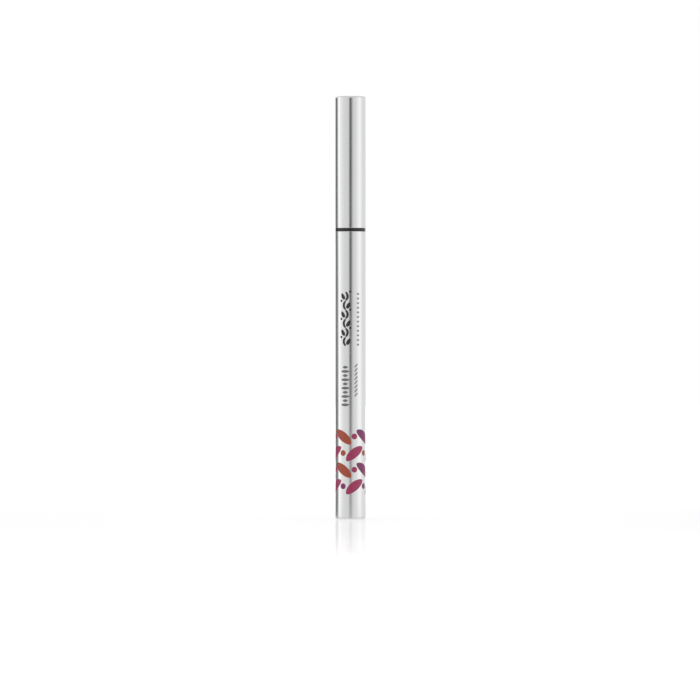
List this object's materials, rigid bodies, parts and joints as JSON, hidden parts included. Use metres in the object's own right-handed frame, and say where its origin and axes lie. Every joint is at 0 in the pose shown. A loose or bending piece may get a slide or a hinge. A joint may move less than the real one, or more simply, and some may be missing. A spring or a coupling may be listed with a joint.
{
  "type": "eyeliner pen",
  "caption": "Slim round liquid eyeliner pen with a silver sleeve, a thin black ring and a pull-off cap over a fine brush.",
  "frame": {"origin": "middle of the tail face that the pen stands on", "axes": "+Z along the pen from tail to cap; X and Y are free because the pen is round"},
  "size_m": [0.0098, 0.0098, 0.138],
  "materials": {
    "tail_silver": "satin silver anodised",
    "barrel_silver": "satin silver anodised, printed",
    "cap_silver": "satin silver anodised",
    "stopper_plastic": "natural polypropylene",
    "tank_plastic": "natural polypropylene",
    "pipe_plastic": "natural polypropylene",
    "collector_plastic": "natural moulded plastic",
    "liner_plastic": "natural polypropylene",
    "inner_cap_plastic": "natural polyethylene",
    "collar_black": "gloss black",
    "nose_black": "gloss black",
    "o_ring_rubber": "matte black nitrile",
    "core_fibre": "bonded fibre, stained",
    "brush_fibre": "black nylon filament",
    "ball_steel": "polished stainless",
    "ferrule_steel": "bright stainless",
    "spring_steel": "bright spring wire"
  },
  "bodies": {
    "pen": {"tail_plug": "tail_silver", "barrel_shell": "barrel_silver", "tank_end_plug": "stopper_plastic", "ink_tank": "tank_plastic", "tank_seal": "stopper_plastic", "core_pipe": "pipe_plastic", "relay_core": "core_fibre", "collector": "collector_plastic", "neck_collar": "collar_black", "neck_o_ring": "o_ring_rubber", "nose_cone": "nose_black", "brush_ferrule": "ferrule_steel", "brush_tip": "brush_fibre"},
    "cap": {"cap_shell": "cap_silver", "cap_liner": "liner_plastic", "inner_cap_spring": "spring_steel"},
    "inner_cap": {"inner_cap": "inner_cap_plastic"},
    "ball": {"agitator_ball": "ball_steel"}
  },
  "joints": [
    {"name": "cap_pull", "type": "slide", "parent": "pen", "child": "cap", "axis": [0, 0, 1], "range_m": [0, 0.045]},
    {"name": "inner_cap_slide", "type": "slide", "parent": "cap", "child": "inner_cap", "axis": [0, 0, 1], "range_m": [0, 0.0015], "stiffness_N_per_m": 300, "springref_m": -0.0015, "deforming": ["inner_cap_spring"]},
    {"name": "ball_slide", "type": "slide", "parent": "pen", "child": "ball", "axis": [0, 0, 1], "range_m": [0, 0.0445]}
  ]
}
